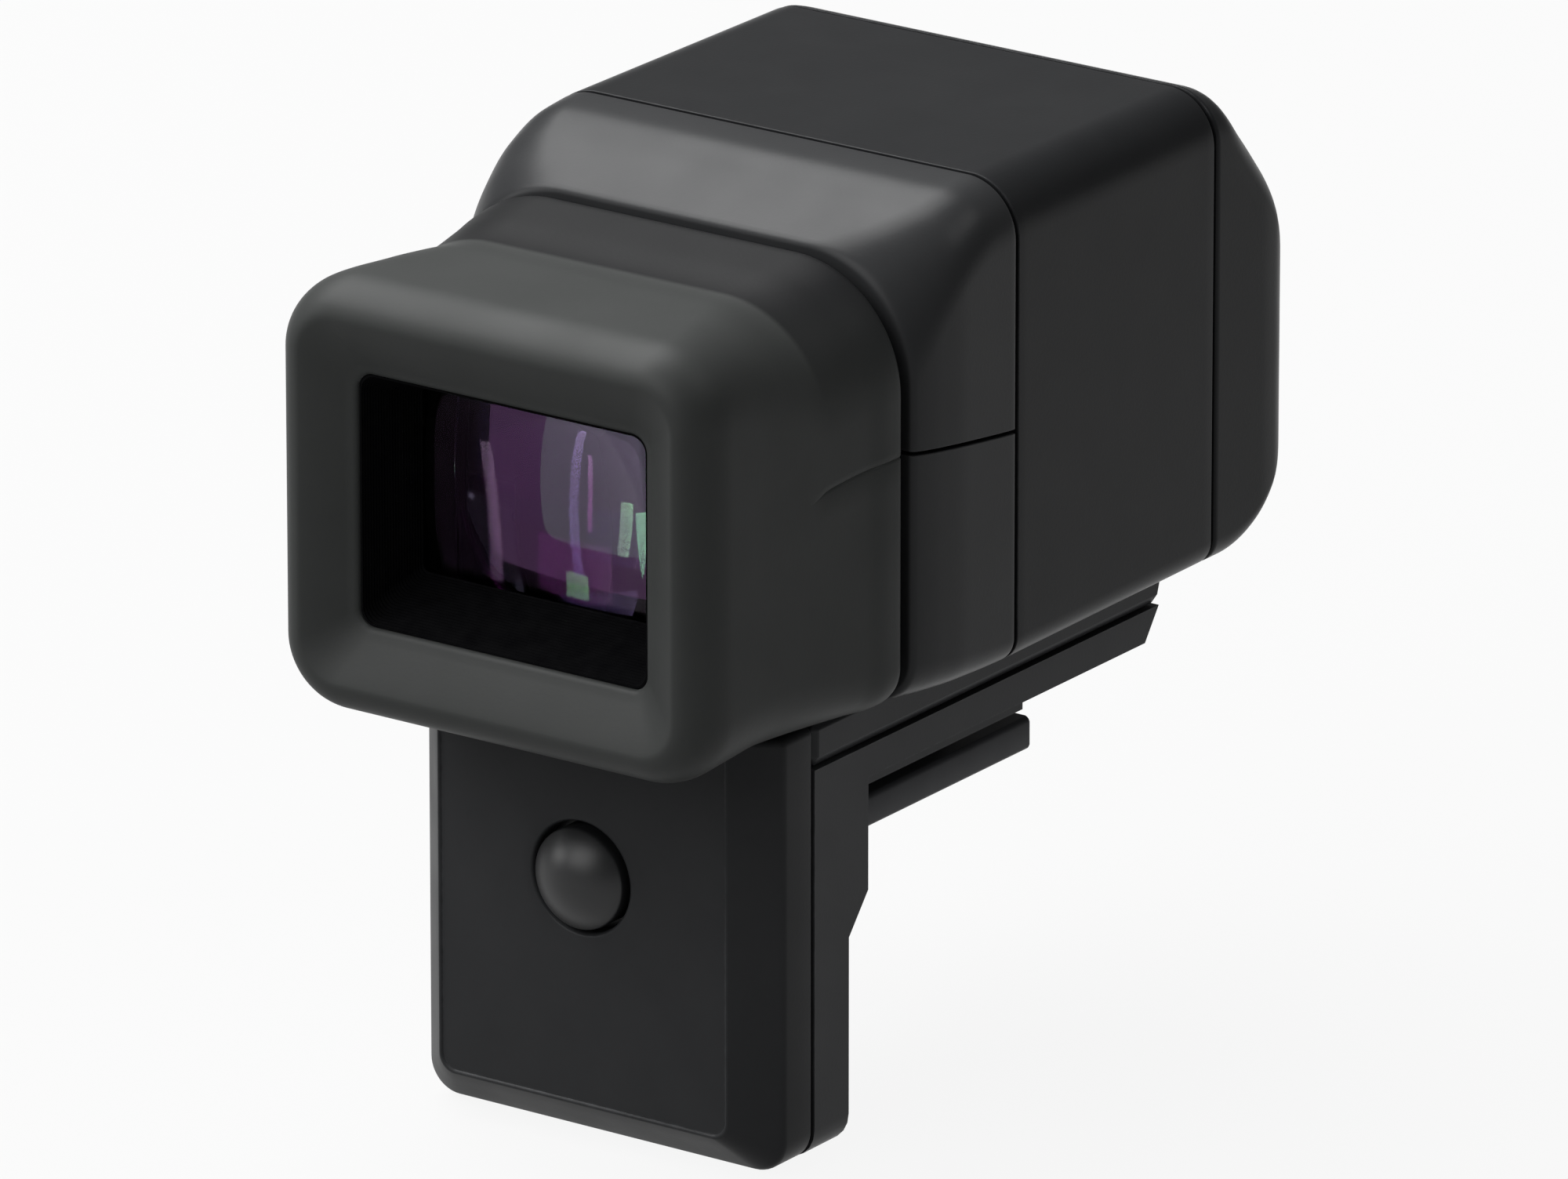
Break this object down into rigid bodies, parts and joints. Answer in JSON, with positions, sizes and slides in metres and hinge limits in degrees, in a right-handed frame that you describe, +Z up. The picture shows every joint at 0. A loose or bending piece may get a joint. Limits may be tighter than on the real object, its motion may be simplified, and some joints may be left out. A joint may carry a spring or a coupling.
{
  "type": "electronic viewfinder",
  "caption": "Tilting electronic viewfinder: a boxy eyepiece head with a rubber eyecup, hinged on an L-shaped base with a shoe foot below and a drop-down post with a button and a connector.",
  "frame": {"origin": "centre of the shoe foot's underside", "axes": "+Z up out of the shoe towards the head, -Y the way the eyepiece looks at the user, +X the user's right"},
  "size_m": [0.0318, 0.0542, 0.0524],
  "materials": {
    "eyecup_rubber": "soft matte moulded rubber, dark grey",
    "black_plastic": "flat black moulding, anti-glare",
    "coated_glass": "polished, with a magenta and violet anti-reflection coating",
    "clear_glass": "polished clear glass",
    "display_glass": "smooth dark display surface",
    "white_plastic": "white diffusing plastic",
    "circuit_board": "green solder mask",
    "chip_plastic": "black moulded package",
    "casing_plastic": "fine-textured satin charcoal",
    "base_plastic": "fine-textured satin charcoal",
    "wheel_plastic": "satin charcoal with a gripped rim",
    "button_plastic": "semi-gloss charcoal dome",
    "foot_plastic": "hard satin charcoal, slightly scuffed on the rails",
    "screw_steel": "dark plated steel",
    "sheet_steel": "plain pressed steel",
    "connector_metal": "bright nickel plating",
    "ribbon_film": "amber polyimide film"
  },
  "bodies": {
    "base": {"base_upper_cover": "base_plastic", "base_rear_cover": "base_plastic", "base_chassis": "sheet_steel", "base_ribbon": "ribbon_film", "shoe_foot": "foot_plastic", "foot_screw_front_left": "screw_steel", "foot_screw_front_right": "screw_steel", "foot_screw_rear_left": "screw_steel", "foot_screw_rear_right": "screw_steel", "post_front_cover": "base_plastic", "tact_switch": "sheet_steel", "post_board": "circuit_board", "post_screw_left": "screw_steel", "post_screw_right": "screw_steel", "connector_shell": "connector_metal", "connector_core": "black_plastic", "hinge_arm": "sheet_steel", "drum_cover": "casing_plastic", "friction_washer_left": "sheet_steel", "friction_washer_right": "sheet_steel"},
    "head": {"eyecup": "eyecup_rubber", "window_bezel": "black_plastic", "eyepiece_glass": "coated_glass", "optics_housing": "black_plastic", "field_baffle": "black_plastic", "display_frame": "black_plastic", "display_panel": "display_glass", "diffuser_sheet": "white_plastic", "backlight_unit": "white_plastic", "display_board": "circuit_board", "driver_chip": "chip_plastic", "flex_socket": "white_plastic", "front_casing_upper": "casing_plastic", "front_casing_lower": "casing_plastic", "main_casing": "casing_plastic", "far_cap": "casing_plastic", "floor_cover": "casing_plastic", "floor_screw_left": "screw_steel", "floor_screw_right": "screw_steel", "hinge_bracket": "sheet_steel", "hinge_pin": "sheet_steel", "pin_clip": "sheet_steel"},
    "dioptre": {"dioptre_wheel": "wheel_plastic", "dial_crank": "black_plastic"},
    "carriage": {"lens_carriage": "black_plastic", "front_lens": "coated_glass", "lens_spacer": "black_plastic", "rear_lens": "clear_glass"},
    "button": {"select_button": "button_plastic"}
  },
  "joints": [
    {"name": "head_tilt", "type": "hinge", "parent": "base", "child": "head", "pos_m": [0, 0.0191, 0.0154], "axis": [-1, 0, 0], "range_deg": [0, 90]},
    {"name": "dioptre_turn", "type": "hinge", "parent": "head", "child": "dioptre", "pos_m": [-0.0155, -0.0062, 0.0182], "axis": [-1, 0, 0], "range_deg": [-40, 40]},
    {"name": "lens_focus", "type": "slide", "parent": "head", "child": "carriage", "axis": [0, 1, 0], "range_m": [-0.0014, 0.0014]},
    {"name": "button_press", "type": "slide", "parent": "base", "child": "button", "axis": [0, 1, 0], "range_m": [0, 0.0004], "stiffness_N_per_m": 2000, "springref_m": -0.0002}
  ],
  "couplings": [
    {"joint": "dioptre_turn", "follows": "lens_focus", "rad_per_m": 493.6}
  ]
}
